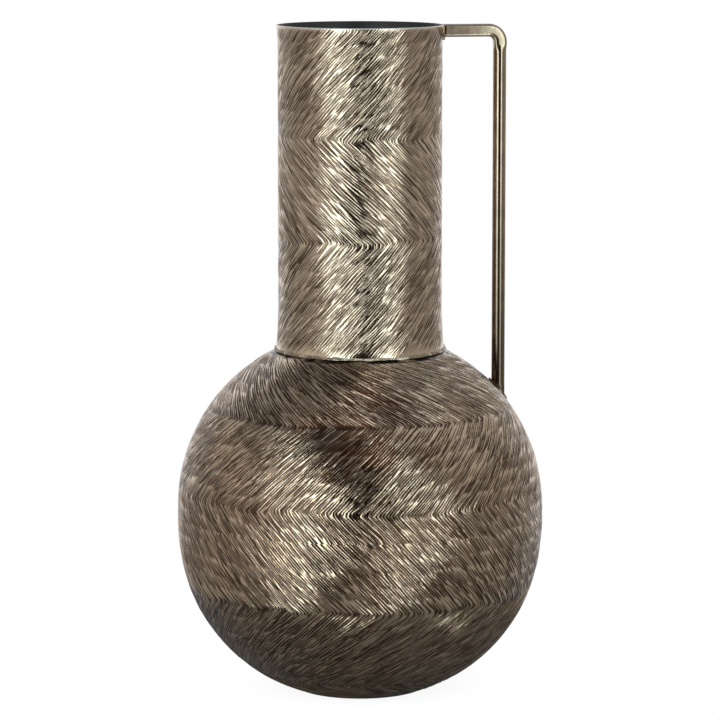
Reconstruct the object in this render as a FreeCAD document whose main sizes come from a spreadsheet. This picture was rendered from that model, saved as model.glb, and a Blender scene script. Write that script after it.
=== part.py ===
import FreeCAD, Part
import math
import os

import Sketcher

os.makedirs("parts", exist_ok=True)
doc = FreeCAD.newDocument("UrnVase")

# Driving dimensions: lengths in millimetres, turns in degrees.
# The vase stands on the plane z = 0 with its axis on z, and its handle points along +x.
driving = {
    # The whole
    "rim_height": 400,        # table to the top of the neck
    # The belly, seen in section: a straight belt between a shoulder arc and a side arc
    "belly_radius": 110,      # outside, across the belt
    "seam_height": 108,       # table to the joint between the two bowls
    "belt_height": 7,         # straight band that the joint runs through
    "shoulder_arc": 105,      # section radius above the belt
    "side_arc": 135,          # section radius just under the belt
    "side_turn": 13,          # how far the side arc turns before the bottom arc takes over
    "base_radius": 39.8,      # flat base; an arc runs down to it from the side arc
    "bowl_gauge": 1.2,        # sheet of both bowls
    # The neck
    "neck_radius": 49.1,      # outside, over the straight run
    "neck_gauge": 1.2,        # sheet of the neck
    "lip_curve": 72,          # section radius of the flared lip
    "lip_length": 10,
    "rim_round": 0.5,         # rounding of the two rim edges
    "foot_curve": 280,        # section radius of the flared foot
    "foot_length": 28,
    "throat_ledge": 2,        # how far the shoulder runs inside the neck's inner wall
    # The handle
    "bar_width": 7.7,         # squared arm and bend
    "bar_corner": 1.5,        # rounding of the arm's long edges
    "rod_diameter": 8,        # round drop
    "handle_inset": 25,       # from the belly's widest place in to the middle of the drop
    "bend_radius": 7,         # along the middle of the bar
    "bend_tail": 1.5,         # squared length after the bend
    "taper_length": 4,        # from the squared bar to the round drop
    # The joints
    "neck_bead": 1.3,         # section radius of the weld round the neck's foot
    "belly_bead": 1.6,        # how far the weld inside the belt stands off the wall
    "belly_bead_width": 3.6,
    "belly_bead_crown": 1.8,  # width of its flattened top
    "arm_bead": 1.2,          # section radius of the weld under the arm
    "foot_weld_width": 1.6,   # how far the weld spreads round the foot of the drop
    "foot_weld_height": 1,    # how far it stands off the shoulder
    # The pads under the base
    "pad_height": 1,
    "pad_diameter": 14,
    "pad_circle": 27,         # vase axis to the middle of a pad
}
pad_count = 4
bead_out_share = 0.5          # how far a bead's middle stands off the corner that it fills
bead_up_share = 0.35
pad_turn_share = 0.5          # of the turn between two pads, from the handle's side to the first

sheet = doc.addObject("Spreadsheet::Sheet", "Sizes")
for row, (alias, number) in enumerate(driving.items(), start=1):
    sheet.set("A%d" % row, alias)
    sheet.set("B%d" % row, str(number))
    sheet.setAlias("B%d" % row, alias)
doc.recompute()


def size(alias):
    """A driving dimension as the sheet holds it."""
    return float(sheet.get(alias))


# Places worked out from the driving dimensions, each as a value and as the same sum in words of the sheet
places = {}


def place(name, value, words):
    """Keeps a place under a name, and the sum that ties it to the sheet."""
    for alias in sorted(driving, key=len, reverse=True):
        words = words.replace("{%s}" % alias, "Sizes." + alias)
    for earlier in places:
        words = words.replace("{%s}" % earlier, "(%s)" % places[earlier][1])
    places[name] = (value, words)
    return value


shoulder_x = place("shoulder_x", size("belly_radius") - size("shoulder_arc"),
                   "{belly_radius} - {shoulder_arc}")
belt_top = place("belt_top", size("seam_height") + size("belt_height") / 2,
                 "{seam_height} + {belt_height} / 2")
belt_bottom = place("belt_bottom", size("seam_height") - size("belt_height") / 2,
                    "{seam_height} - {belt_height} / 2")
side_x = place("side_x", size("belly_radius") - size("side_arc"), "{belly_radius} - {side_arc}")
turn = math.radians(size("side_turn"))
turn_x = place("turn_x", side_x + size("side_arc") * math.cos(turn),
               "{side_x} + {side_arc} * cos({side_turn})")
turn_z = place("turn_z", belt_bottom - size("side_arc") * math.sin(turn),
               "{belt_bottom} - {side_arc} * sin({side_turn})")
# The bottom arc leaves the side arc without a corner and ends at the edge of the base
run_x = place("run_x", turn_x - size("base_radius"), "{turn_x} - {base_radius}")
run_z = place("run_z", turn_z - size("pad_height"), "{turn_z} - {pad_height}")
bottom_arc = place("bottom_arc",
                   (run_x ** 2 + run_z ** 2) / (run_x * math.cos(turn) - run_z * math.sin(turn)) / 2,
                   "({run_x} ^ 2 + {run_z} ^ 2)"
                   " / ({run_x} * cos({side_turn}) - {run_z} * sin({side_turn})) / 2")
bottom_x = place("bottom_x", turn_x - bottom_arc * math.cos(turn),
                 "{turn_x} - {bottom_arc} * cos({side_turn})")
bottom_z = place("bottom_z", turn_z + bottom_arc * math.sin(turn),
                 "{turn_z} + {bottom_arc} * sin({side_turn})")
wall_inside = size("side_arc") - size("bowl_gauge")
turn_in_x = side_x + wall_inside * math.cos(turn)
turn_in_z = place("turn_in_z", belt_bottom - wall_inside * math.sin(turn),
                  "{belt_bottom} - ({side_arc} - {bowl_gauge}) * sin({side_turn})")
belly_inside = place("belly_inside", size("belly_radius") - size("bowl_gauge"),
                     "{belly_radius} - {bowl_gauge}")
weld_crown = place("weld_crown", belly_inside - size("belly_bead"), "{belly_inside} - {belly_bead}")
weld_low = place("weld_low", size("seam_height") - size("belly_bead_width") / 2,
                 "{seam_height} - {belly_bead_width} / 2")
weld_high = place("weld_high", size("seam_height") + size("belly_bead_width") / 2,
                  "{seam_height} + {belly_bead_width} / 2")
crown_bottom = place("crown_bottom", size("seam_height") - size("belly_bead_crown") / 2,
                     "{seam_height} - {belly_bead_crown} / 2")
crown_top = place("crown_top", size("seam_height") + size("belly_bead_crown") / 2,
                  "{seam_height} + {belly_bead_crown} / 2")
floor_z = place("floor_z", size("pad_height") + size("bowl_gauge"), "{pad_height} + {bowl_gauge}")
neck_inside = place("neck_inside", size("neck_radius") - size("neck_gauge"), "{neck_radius} - {neck_gauge}")
throat = place("throat", neck_inside - size("throat_ledge"), "{neck_inside} - {throat_ledge}")


def shoulder_height(radius, arc):
    """Height of the shoulder's section arc at a distance from the axis."""
    return belt_top + math.sqrt(arc ** 2 - (radius - shoulder_x) ** 2)


foot_start = place("foot_start",
                   shoulder_height(size("neck_radius"), size("shoulder_arc")) + size("foot_length"),
                   "{belt_top} + sqrt({shoulder_arc} ^ 2 - ({neck_radius} - {shoulder_x}) ^ 2)"
                   " + {foot_length}")
foot_flare = place("foot_flare",
                   size("foot_curve") - math.sqrt(size("foot_curve") ** 2 - size("foot_length") ** 2),
                   "{foot_curve} - sqrt({foot_curve} ^ 2 - {foot_length} ^ 2)")
foot_radius = place("foot_radius", size("neck_radius") + foot_flare, "{neck_radius} + {foot_flare}")
foot_height = place("foot_height", shoulder_height(foot_radius, size("shoulder_arc")),
                    "{belt_top} + sqrt({shoulder_arc} ^ 2 - ({foot_radius} - {shoulder_x}) ^ 2)")
lip_start = place("lip_start", size("rim_height") - size("lip_length"), "{rim_height} - {lip_length}")
foot_curve_x = place("foot_curve_x", size("neck_radius") + size("foot_curve"), "{neck_radius} + {foot_curve}")
lip_curve_x = place("lip_curve_x", size("neck_radius") + size("lip_curve"), "{neck_radius} + {lip_curve}")
handle_reach = place("handle_reach", size("belly_radius") - size("handle_inset"),
                     "{belly_radius} - {handle_inset}")
arm_height = place("arm_height", size("rim_height") - size("bar_width") / 2, "{rim_height} - {bar_width} / 2")
bend_x = place("bend_x", handle_reach - size("bend_radius"), "{handle_reach} - {bend_radius}")
bend_z = place("bend_z", arm_height - size("bend_radius"), "{arm_height} - {bend_radius}")
tail_end = place("tail_end", bend_z - size("bend_tail"), "{bend_z} - {bend_tail}")
drop_top = place("drop_top", tail_end - size("taper_length"), "{tail_end} - {taper_length}")


def words_for(what):
    """The sum behind a place or a driving dimension, as an expression on the sheet."""
    if what in places:
        return "(%s)" % places[what][1]
    return "Sizes." + what


def value_of(what):
    """The number behind a place or a driving dimension."""
    if what in places:
        return places[what][0]
    return size(what)


def start_body(label):
    """A body named for the piece that it makes."""
    body = doc.addObject("PartDesign::Body", label.title().replace("_", ""))
    body.Label = label
    return body


def origin_plane(body, role):
    return next(f for f in body.Origin.OriginFeatures if f.Role == role)


class Outline:
    """A closed outline in one of a body's own planes, held by named sizes alone."""

    def __init__(self, body, name, role="XZ_Plane"):
        self.sketch = body.newObject("Sketcher::SketchObject", name)
        self.sketch.AttachmentSupport = (origin_plane(body, role), [""])
        self.sketch.MapMode = "FlatFace"

    def move_plane(self, what):
        """Moves the outline's plane along its own normal, to a place or a size on the sheet."""
        lift = FreeCAD.Vector(0, 0, value_of(what))
        self.sketch.AttachmentOffset = FreeCAD.Placement(lift, FreeCAD.Rotation())
        self.sketch.setExpression("AttachmentOffset.Base.z", words_for(what))

    def line(self, start, end):
        ends = [FreeCAD.Vector(x, y, 0) for x, y in (start, end)]
        return self.sketch.addGeometry(Part.LineSegment(*ends), False)

    def arc(self, centre, start, end):
        """An arc about a centre from one point to the other, the short way round."""
        (cx, cy), radius = centre, math.dist(centre, start)
        first, last = (math.atan2(y - cy, x - cx) for x, y in (start, end))
        if (last - first) % (2 * math.pi) > math.pi:
            first, last = last, first
        circle = Part.Circle(FreeCAD.Vector(cx, cy, 0), FreeCAD.Vector(0, 0, 1), radius)
        return self.sketch.addGeometry(Part.ArcOfCircle(circle, first, last), False)

    def join(self, first, first_end, second, second_end):
        self.sketch.addConstraint(Sketcher.Constraint("Coincident", first, first_end, second, second_end))

    def hold(self, kind, piece):
        self.sketch.addConstraint(Sketcher.Constraint(kind, piece))

    def tie(self, kind, where, number, words):
        """A size on the outline, bound to the sheet."""
        index = self.sketch.addConstraint(Sketcher.Constraint(kind, *where, number))
        name = "size%d" % index
        self.sketch.renameConstraint(index, name)
        self.sketch.setExpression("Constraints." + name, words)

    def tie_x(self, piece, end, what):
        self.tie("DistanceX", (-1, 1, piece, end), value_of(what), words_for(what))

    def tie_y(self, piece, end, what):
        self.tie("DistanceY", (-1, 1, piece, end), value_of(what), words_for(what))

    def tie_point(self, piece, end, what_x, what_y):
        self.tie_x(piece, end, what_x)
        self.tie_y(piece, end, what_y)


# The ends of a line or an arc in a sketch, and an arc's middle
first_end, last_end, middle = range(1, 4)


def on_axis(outline, piece, end):
    """Holds a point on the vase's axis."""
    outline.sketch.addConstraint(Sketcher.Constraint("PointOnObject", piece, end, -2))


def turned(body, outline, name):
    """A solid turned about the vase's axis from an outline."""
    solid = body.newObject("PartDesign::Revolution", name)
    solid.Profile = outline.sketch
    solid.ReferenceAxis = (outline.sketch, ["V_Axis"])
    solid.Angle = 360
    outline.sketch.Visibility = False
    return solid


def make_upper_bowl():
    """The spun upper half, open under the neck. Its edge is the joint in the middle of the belt."""
    body = start_body("upper_bowl")
    out = Outline(body, "UpperBowlSection")
    belly, seam, top = size("belly_radius"), size("seam_height"), belt_top
    outer_top = (throat, shoulder_height(throat, size("shoulder_arc")))
    inner_top = (throat, shoulder_height(throat, size("shoulder_arc") - size("bowl_gauge")))
    centre = (shoulder_x, belt_top)
    outer_belt = out.line((belly, seam), (belly, top))
    outer_arc = out.arc(centre, (belly, top), outer_top)
    throat_edge = out.line(outer_top, inner_top)
    inner_arc = out.arc(centre, (belly_inside, top), inner_top)
    inner_belt = out.line((belly_inside, top), (belly_inside, seam))
    joint_edge = out.line((belly_inside, seam), (belly, seam))
    out.join(outer_belt, last_end, outer_arc, first_end)
    out.join(outer_arc, last_end, throat_edge, first_end)
    out.join(throat_edge, last_end, inner_arc, last_end)
    out.join(inner_arc, first_end, inner_belt, first_end)
    out.join(inner_belt, last_end, joint_edge, first_end)
    out.join(joint_edge, last_end, outer_belt, first_end)
    out.join(outer_arc, middle, inner_arc, middle)
    for upright in (outer_belt, throat_edge, inner_belt):
        out.hold("Vertical", upright)
    out.hold("Horizontal", joint_edge)
    out.tie_point(outer_arc, middle, "shoulder_x", "belt_top")
    out.tie_point(outer_belt, last_end, "belly_radius", "belt_top")
    out.tie_point(inner_belt, first_end, "belly_inside", "belt_top")
    out.tie_x(throat_edge, first_end, "throat")
    out.tie_y(outer_belt, first_end, "seam_height")
    turned(body, out, "UpperBowlTurn")
    return body


def make_lower_bowl():
    """The spun lower half with its flat base, a pad's height above the table."""
    body = start_body("lower_bowl")
    out = Outline(body, "LowerBowlSection")
    belly, seam, base = size("belly_radius"), size("seam_height"), size("pad_height")
    inner_radius = bottom_arc - size("bowl_gauge")
    outer_base = (size("base_radius"), base)
    inner_base = (bottom_x + math.sqrt(inner_radius ** 2 - (bottom_z - floor_z) ** 2), floor_z)
    side_centre, bottom_centre = (side_x, belt_bottom), (bottom_x, bottom_z)
    outer_belt = out.line((belly, seam), (belly, belt_bottom))
    outer_side = out.arc(side_centre, (turn_x, turn_z), (belly, belt_bottom))
    outer_bottom = out.arc(bottom_centre, outer_base, (turn_x, turn_z))
    base_line = out.line(outer_base, (0, base))
    axis_line = out.line((0, base), (0, floor_z))
    floor_line = out.line((0, floor_z), inner_base)
    inner_bottom = out.arc(bottom_centre, inner_base, (turn_in_x, turn_in_z))
    inner_side = out.arc(side_centre, (turn_in_x, turn_in_z), (belly_inside, belt_bottom))
    inner_belt = out.line((belly_inside, belt_bottom), (belly_inside, seam))
    joint_edge = out.line((belly_inside, seam), (belly, seam))
    out.join(outer_belt, last_end, outer_side, last_end)
    out.join(outer_side, first_end, outer_bottom, last_end)
    out.join(outer_bottom, first_end, base_line, first_end)
    out.join(base_line, last_end, axis_line, first_end)
    out.join(axis_line, last_end, floor_line, first_end)
    out.join(floor_line, last_end, inner_bottom, first_end)
    out.join(inner_bottom, last_end, inner_side, first_end)
    out.join(inner_side, last_end, inner_belt, first_end)
    out.join(inner_belt, last_end, joint_edge, first_end)
    out.join(joint_edge, last_end, outer_belt, first_end)
    out.join(outer_side, middle, inner_side, middle)
    out.join(outer_bottom, middle, inner_bottom, middle)
    for upright in (outer_belt, inner_belt):
        out.hold("Vertical", upright)
    for level in (base_line, floor_line, joint_edge):
        out.hold("Horizontal", level)
    on_axis(out, axis_line, first_end)
    on_axis(out, axis_line, last_end)
    out.tie_point(outer_side, middle, "side_x", "belt_bottom")
    out.tie_point(outer_bottom, middle, "bottom_x", "bottom_z")
    out.tie_point(outer_belt, last_end, "belly_radius", "belt_bottom")
    out.tie_point(inner_belt, first_end, "belly_inside", "belt_bottom")
    # The arcs meet on one line through both centres, so one size places each meeting point
    out.tie_y(outer_bottom, last_end, "turn_z")
    out.tie_y(inner_bottom, last_end, "turn_in_z")
    out.tie_y(axis_line, first_end, "pad_height")
    out.tie_y(axis_line, last_end, "floor_z")
    out.tie_y(outer_belt, first_end, "seam_height")
    turned(body, out, "LowerBowlTurn")
    return body


def lip_at_rim(curve):
    """Distance from the axis at which a lip of a given section radius meets the rim."""
    return lip_curve_x - math.sqrt(curve ** 2 - size("lip_length") ** 2)


def neck_outside(out, rim_point, seat_point):
    """The neck's outside from foot to rim, with the rim and the seat on the shoulder out to given points."""
    radius, rim = size("neck_radius"), size("rim_height")
    outer_rim = (lip_at_rim(size("lip_curve")), rim)
    outer_foot = (foot_radius, foot_height)
    flare = out.arc((foot_curve_x, foot_start), (radius, foot_start), outer_foot)
    run = out.line((radius, foot_start), (radius, lip_start))
    lip = out.arc((lip_curve_x, lip_start), outer_rim, (radius, lip_start))
    rim_edge = out.line(outer_rim, rim_point)
    seat = out.arc((shoulder_x, belt_top), outer_foot, seat_point)
    out.join(flare, first_end, run, first_end)
    out.join(run, last_end, lip, last_end)
    out.join(lip, first_end, rim_edge, first_end)
    out.join(seat, first_end, flare, last_end)
    out.hold("Horizontal", rim_edge)
    out.tie_point(flare, middle, "foot_curve_x", "foot_start")
    out.tie_point(lip, middle, "lip_curve_x", "lip_start")
    out.tie_point(run, first_end, "neck_radius", "foot_start")
    out.tie_point(run, last_end, "neck_radius", "lip_start")
    out.tie_y(rim_edge, first_end, "rim_height")
    out.tie_point(seat, middle, "shoulder_x", "belt_top")
    out.tie("Radius", (seat,), size("shoulder_arc"), words_for("shoulder_arc"))
    return flare, lip, rim_edge, seat


def make_neck_tube():
    """The rolled neck: a straight run with a flared lip and a flared foot that sits on the shoulder."""
    body = start_body("neck_tube")
    out = Outline(body, "NeckSection")
    inner_rim = (lip_at_rim(size("lip_curve") + size("neck_gauge")), size("rim_height"))
    inner_foot_x = foot_radius - size("neck_gauge")
    inner_foot = (inner_foot_x, shoulder_height(inner_foot_x, size("shoulder_arc")))
    flare, lip, rim_edge, seat = neck_outside(out, inner_rim, inner_foot)
    inner_lip = out.arc((lip_curve_x, lip_start), inner_rim, (neck_inside, lip_start))
    inner_run = out.line((neck_inside, lip_start), (neck_inside, foot_start))
    inner_flare = out.arc((foot_curve_x, foot_start), (neck_inside, foot_start), inner_foot)
    out.join(rim_edge, last_end, inner_lip, first_end)
    out.join(inner_lip, last_end, inner_run, first_end)
    out.join(inner_run, last_end, inner_flare, first_end)
    out.join(inner_flare, last_end, seat, last_end)
    out.join(flare, middle, inner_flare, middle)
    out.join(lip, middle, inner_lip, middle)
    out.tie_point(inner_run, first_end, "neck_inside", "lip_start")
    out.tie_point(inner_run, last_end, "neck_inside", "foot_start")
    blank = turned(body, out, "NeckTurn")
    doc.recompute()
    # Both edges of the rim are rounded
    level = size("rim_height")
    near = size("rim_round")
    rims = ["Edge%d" % (i + 1) for i, edge in enumerate(blank.Shape.Edges)
            if edge.Closed and edge.BoundBox.ZLength < near and abs(edge.BoundBox.ZMax - level) < near]
    rounding = body.newObject("PartDesign::Fillet", "RimRounding")
    rounding.Base = (blank, rims)
    rounding.setExpression("Radius", "Sizes.rim_round")
    return body


def make_neck_form():
    """The neck's outside as a solid form, which the handle's arm and the welds are cut to."""
    body = start_body("neck_form")
    out = Outline(body, "NeckFormSection")
    rim_middle = (0, size("rim_height"))
    seat_middle = (0, shoulder_height(0, size("shoulder_arc")))
    rim_edge, seat = neck_outside(out, rim_middle, seat_middle)[2:]
    axis_line = out.line(rim_middle, seat_middle)
    out.join(rim_edge, last_end, axis_line, first_end)
    out.join(axis_line, last_end, seat, last_end)
    on_axis(out, axis_line, first_end)
    on_axis(out, axis_line, last_end)
    turned(body, out, "NeckFormTurn")
    return body


def make_belly_weld():
    """The weld that joins the bowls, a flattened bead on the inside of the belt."""
    body = start_body("belly_weld")
    out = Outline(body, "BellyWeldSection")
    low, high = (belly_inside, weld_low), (belly_inside, weld_high)
    crown_low, crown_high = (weld_crown, crown_bottom), (weld_crown, crown_top)
    corners = [low, high, crown_high, crown_low]
    sides = [out.line(corner, after) for corner, after in zip(corners, corners[1:] + corners[:1])]
    for side, after in zip(sides, sides[1:] + sides[:1]):
        out.join(side, last_end, after, first_end)
    wall_side, _, crown_side, _ = sides
    out.hold("Vertical", wall_side)
    out.hold("Vertical", crown_side)
    out.tie_point(wall_side, first_end, "belly_inside", "weld_low")
    out.tie_y(wall_side, last_end, "weld_high")
    out.tie_point(crown_side, first_end, "weld_crown", "crown_top")
    out.tie_y(crown_side, last_end, "crown_bottom")
    turned(body, out, "BellyWeldTurn")
    return body


def rounded_square(body, name, role, centre_x, centre_y, offset):
    """A square with rounded corners, the arm's section, in a plane moved along its own normal."""
    out = Outline(body, name, role)
    if offset:
        out.move_plane(offset)
    middle_x, middle_y = (value_of(what) if what else 0 for what in (centre_x, centre_y))
    words_x, words_y = (words_for(what) if what else "0" for what in (centre_x, centre_y))
    half, corner = size("bar_width") / 2, size("bar_corner")
    flat = half - corner
    words = {half: "Sizes.bar_width / 2", flat: "(Sizes.bar_width / 2 - Sizes.bar_corner)"}

    def offset_words(step):
        return (" - " if step < 0 else " + ") + words[abs(step)]

    # The two ends of each flat side, anticlockwise from the lower one
    flats = [((-flat, -half), (flat, -half)), ((half, -flat), (half, flat)),
             ((flat, half), (-flat, half)), ((-half, flat), (-half, -flat))]

    def placed(step):
        return (middle_x + step[0], middle_y + step[1])

    sides = [out.line(placed(start), placed(end)) for start, end in flats]
    for side, ends in zip(sides, flats):
        for end, (step_x, step_y) in zip((first_end, last_end), ends):
            out.tie("DistanceX", (-1, 1, side, end), middle_x + step_x, words_x + offset_words(step_x))
            out.tie("DistanceY", (-1, 1, side, end), middle_y + step_y, words_y + offset_words(step_y))
    sides_after, flats_after = (items[1:] + items[:1] for items in (sides, flats))
    for side, side_after, (_, start), (end, _) in zip(sides, sides_after, flats, flats_after):
        centre = [math.copysign(flat, from_start + from_end) for from_start, from_end in zip(start, end)]
        rounding = out.arc(placed(centre), placed(start), placed(end))
        out.join(rounding, first_end, side, last_end)
        out.join(rounding, last_end, side_after, first_end)
        out.tie("Radius", (rounding,), corner, "Sizes.bar_corner")
    return out


def rod_circle(body, name, height):
    """The round drop's section at a height."""
    out = Outline(body, name, "XY_Plane")
    out.move_plane(height)
    spot = FreeCAD.Vector(handle_reach, 0, 0)
    circle = Part.Circle(spot, FreeCAD.Vector(0, 0, 1), size("rod_diameter") / 2)
    ring = out.sketch.addGeometry(circle, False)
    out.tie("Diameter", (ring,), size("rod_diameter"), "Sizes.rod_diameter")
    out.tie_x(ring, middle, "handle_reach")
    out.sketch.addConstraint(Sketcher.Constraint("PointOnObject", ring, middle, -1))
    return out


def make_handle_blank():
    """The handle before it is cut to the neck and the shoulder: squared arm and bend, then a round drop."""
    body = start_body("handle_blank")
    path = Outline(body, "HandlePath")
    arm = path.line((0, arm_height), (bend_x, arm_height))
    bend = path.arc((bend_x, bend_z), (handle_reach, bend_z), (bend_x, arm_height))
    tail = path.line((handle_reach, bend_z), (handle_reach, tail_end))
    path.join(arm, last_end, bend, last_end)
    path.join(bend, first_end, tail, first_end)
    path.hold("Horizontal", arm)
    path.hold("Vertical", tail)
    path.tie_point(bend, middle, "bend_x", "bend_z")
    path.tie_y(arm, first_end, "arm_height")
    on_axis(path, arm, first_end)
    path.tie_x(arm, last_end, "bend_x")
    path.tie_y(tail, first_end, "bend_z")
    path.tie_y(tail, last_end, "tail_end")
    section = rounded_square(body, "ArmSection", "YZ_Plane", None, "arm_height", None)
    arm_sweep = body.newObject("PartDesign::AdditivePipe", "ArmSweep")
    arm_sweep.Profile = section.sketch
    arm_sweep.Spine = (path.sketch, ["Edge1", "Edge2", "Edge3"])
    doc.recompute()
    square_end = rounded_square(body, "TaperTop", "XY_Plane", "handle_reach", None, "tail_end")
    round_end = rod_circle(body, "TaperFoot", "drop_top")
    taper = body.newObject("PartDesign::AdditiveLoft", "Taper")
    taper.Profile = square_end.sketch
    taper.Sections = [(round_end.sketch, [""])]
    taper.Ruled = True
    doc.recompute()
    drop_section = rod_circle(body, "DropSection", "drop_top")
    drop = body.newObject("PartDesign::Pad", "Drop")
    drop.Profile = drop_section.sketch
    drop.Reversed = True
    # The drop runs down past the shoulder, where the bowl's form then cuts it
    drop.setExpression("Length", "%s - %s" % (words_for("drop_top"), words_for("belt_top")))
    for outline in (path, section, square_end, round_end, drop_section):
        outline.sketch.Visibility = False
    return body


def make_shoulder_form(label, grow):
    """The shoulder's outside as a solid form, grown by a named size: the handle's foot stands on it."""
    body = start_body(label)
    out = Outline(body, label.title().replace("_", "") + "Section")
    extra = size(grow) if grow else 0
    extra_words = " + Sizes." + grow if grow else ""
    outer = size("belly_radius") + extra
    top = (0, shoulder_height(0, size("shoulder_arc") + extra))
    floor_line = out.line((0, belt_top), (outer, belt_top))
    rise = out.arc((shoulder_x, belt_top), (outer, belt_top), top)
    axis_line = out.line(top, (0, belt_top))
    out.join(floor_line, last_end, rise, first_end)
    out.join(rise, last_end, axis_line, first_end)
    out.join(axis_line, last_end, floor_line, first_end)
    out.hold("Horizontal", floor_line)
    on_axis(out, axis_line, first_end)
    on_axis(out, axis_line, last_end)
    out.tie_point(rise, middle, "shoulder_x", "belt_top")
    out.tie("DistanceX", (-1, 1, floor_line, last_end), outer, "Sizes.belly_radius" + extra_words)
    turned(body, out, label.title().replace("_", "") + "Turn")
    return body


def cut(label, base, tool):
    piece = doc.addObject("Part::Cut", label.title().replace("_", "") + "Cut")
    piece.Base = base
    piece.Tool = tool
    piece.Label = label
    return piece


upper_bowl = make_upper_bowl()
lower_bowl = make_lower_bowl()
neck_tube = make_neck_tube()
belly_weld = make_belly_weld()
handle_blank = make_handle_blank()
neck_form = make_neck_form()
shoulder_form = make_shoulder_form("shoulder_form", None)
weld_form = make_shoulder_form("weld_form", "foot_weld_height")
doc.recompute()

# The arm's end is cut to the neck's wall and the foot of the drop to the shoulder
handle_at_neck = cut("handle_at_neck", handle_blank, neck_form)
handle_bar = cut("handle_bar", handle_at_neck, shoulder_form)

# The bead round the neck's foot fills the corner between neck and shoulder
neck_ring = doc.addObject("Part::Torus", "NeckRing")
neck_ring.setExpression("Radius1", "%s + Sizes.neck_bead * %g" % (words_for("foot_radius"), bead_out_share))
neck_ring.setExpression("Radius2", "Sizes.neck_bead")
neck_ring.setExpression("Placement.Base.z",
                        "%s + Sizes.neck_bead * %g" % (words_for("foot_height"), bead_up_share))
neck_ring_cut = cut("neck_ring_cut", neck_ring, neck_form)
neck_weld = cut("neck_weld", neck_ring_cut, shoulder_form)

# The bead under the arm lies across it in the corner with the neck
arm_rod = doc.addObject("Part::Cylinder", "ArmBeadRod")
arm_rod.setExpression("Radius", "Sizes.arm_bead")
arm_rod.setExpression("Height", "Sizes.bar_width")
arm_rod.Placement = FreeCAD.Placement(FreeCAD.Vector(), FreeCAD.Rotation(FreeCAD.Vector(1, 0, 0), 90))
arm_rod.setExpression("Placement.Base.x", "Sizes.neck_radius + Sizes.arm_bead * %g" % bead_out_share)
arm_rod.setExpression("Placement.Base.y", "Sizes.bar_width / 2")
arm_rod.setExpression("Placement.Base.z", "Sizes.rim_height - Sizes.bar_width - Sizes.arm_bead * %g"
                      % bead_out_share)
arm_rod_cut = cut("arm_rod_cut", arm_rod, neck_form)
handle_top_weld = cut("handle_top_weld", arm_rod_cut, handle_blank)

# The weld round the foot of the drop is a thin collar that follows the shoulder
foot_rod = doc.addObject("Part::Cylinder", "FootWeldRod")
foot_rod.setExpression("Radius", "Sizes.rod_diameter / 2 + Sizes.foot_weld_width")
foot_rod.setExpression("Height", "%s - %s" % (words_for("drop_top"), words_for("belt_top")))
foot_rod.setExpression("Placement.Base.x", words_for("handle_reach"))
foot_rod.setExpression("Placement.Base.z", words_for("belt_top"))
foot_collar = doc.addObject("Part::Common", "FootCollar")
foot_collar.Base = foot_rod
foot_collar.Tool = weld_form
foot_collar_cut = cut("foot_collar_cut", foot_collar, shoulder_form)
handle_foot_weld = cut("handle_foot_weld", foot_collar_cut, handle_blank)

# The felt pads sit on a circle under the base
pads = []
for number in range(pad_count):
    pad = doc.addObject("Part::Cylinder", "FeltPad%d" % (number + 1))
    pad.setExpression("Radius", "Sizes.pad_diameter / 2")
    pad.setExpression("Height", "Sizes.pad_height")
    bearing = 360 * (number + pad_turn_share) / pad_count
    pad.setExpression("Placement.Base.x", "Sizes.pad_circle * cos(%g)" % bearing)
    pad.setExpression("Placement.Base.y", "Sizes.pad_circle * sin(%g)" % bearing)
    pads.append(pad)
felt_pads = doc.addObject("Part::Compound", "FeltPads")
felt_pads.Links = pads
felt_pads.Label = "felt_pads"
doc.recompute()

nodes = [neck_tube, upper_bowl, lower_bowl, belly_weld, neck_weld, handle_bar, handle_top_weld,
         handle_foot_weld, felt_pads]
for item in doc.Objects:
    state = set(item.State)
    if state & {"Invalid", "Error"}:
        raise SystemExit("%s is %s" % (item.Label, ", ".join(state)))
for node in nodes:
    if node.Shape.isNull() or not node.Shape.isValid():
        raise SystemExit("%s has no valid shape" % node.Label)
for node in nodes:
    node.Shape.exportStep(os.path.join("parts", node.Label + ".step"))
    box = node.Shape.optimalBoundingBox()
    print("%-16s %d solid(s) %9.1f mm3  x %.2f..%.2f  z %.2f..%.2f" % (
        node.Label, len(node.Shape.Solids), node.Shape.Volume, box.XMin, box.XMax, box.ZMin, box.ZMax))
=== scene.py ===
import bpy
import math
import numpy as np
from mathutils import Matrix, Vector


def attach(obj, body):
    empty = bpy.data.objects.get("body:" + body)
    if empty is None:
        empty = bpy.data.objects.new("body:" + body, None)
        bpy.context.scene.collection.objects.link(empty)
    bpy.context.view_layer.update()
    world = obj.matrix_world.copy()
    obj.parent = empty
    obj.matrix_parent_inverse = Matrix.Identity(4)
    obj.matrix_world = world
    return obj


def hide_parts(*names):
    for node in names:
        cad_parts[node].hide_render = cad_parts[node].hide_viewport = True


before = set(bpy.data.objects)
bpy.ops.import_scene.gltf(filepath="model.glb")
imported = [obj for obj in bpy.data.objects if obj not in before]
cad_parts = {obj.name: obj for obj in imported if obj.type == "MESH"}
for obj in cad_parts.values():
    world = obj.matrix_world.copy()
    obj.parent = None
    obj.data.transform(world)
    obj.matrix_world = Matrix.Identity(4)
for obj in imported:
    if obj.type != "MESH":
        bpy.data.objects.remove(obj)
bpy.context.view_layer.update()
scene = bpy.context.scene
scene.view_settings.view_transform = "Standard"
mm = 0.001

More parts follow.
